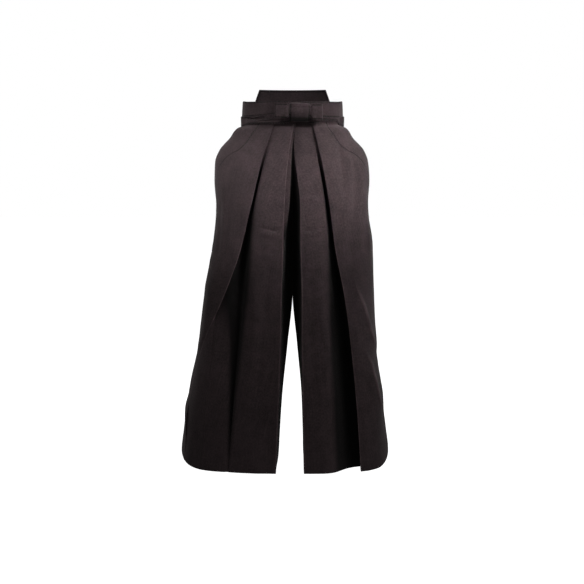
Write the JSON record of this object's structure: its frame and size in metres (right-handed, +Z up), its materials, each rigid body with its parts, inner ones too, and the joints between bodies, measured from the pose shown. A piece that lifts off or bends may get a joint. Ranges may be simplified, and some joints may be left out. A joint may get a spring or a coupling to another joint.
{
  "type": "hakama trousers",
  "caption": "Wide pleated wrap trousers with divided legs, a stiff back board and long ties knotted in a flat bow at the front waist.",
  "frame": {"origin": "middle of the wearer's waist, at the height of the tied bow", "axes": "+Z up, front of the garment faces -Y, wearer's right leg on -X"},
  "size_m": [0.5882, 0.3823, 1.0412],
  "materials": {
    "cotton_panels": "matt black cotton, plain weave, with pressed pleats",
    "cotton_ties": "matt black cotton, folded and edge-stitched",
    "cotton_board": "matt black cotton over a stiff board"
  },
  "bodies": {
    "root": {"front_panel_right": "cotton_panels", "front_panel_left": "cotton_panels", "back_panel_right": "cotton_panels", "back_panel_left": "cotton_panels", "gusset": "cotton_panels", "front_waistband": "cotton_ties", "front_tie_turn": "cotton_ties", "back_tie_right": "cotton_ties", "back_tie_left": "cotton_ties", "back_board": "cotton_board", "bow_outer_fold": "cotton_ties", "bow_inner_fold": "cotton_ties", "bow_wrap": "cotton_ties"}
  },
  "joints": []
}
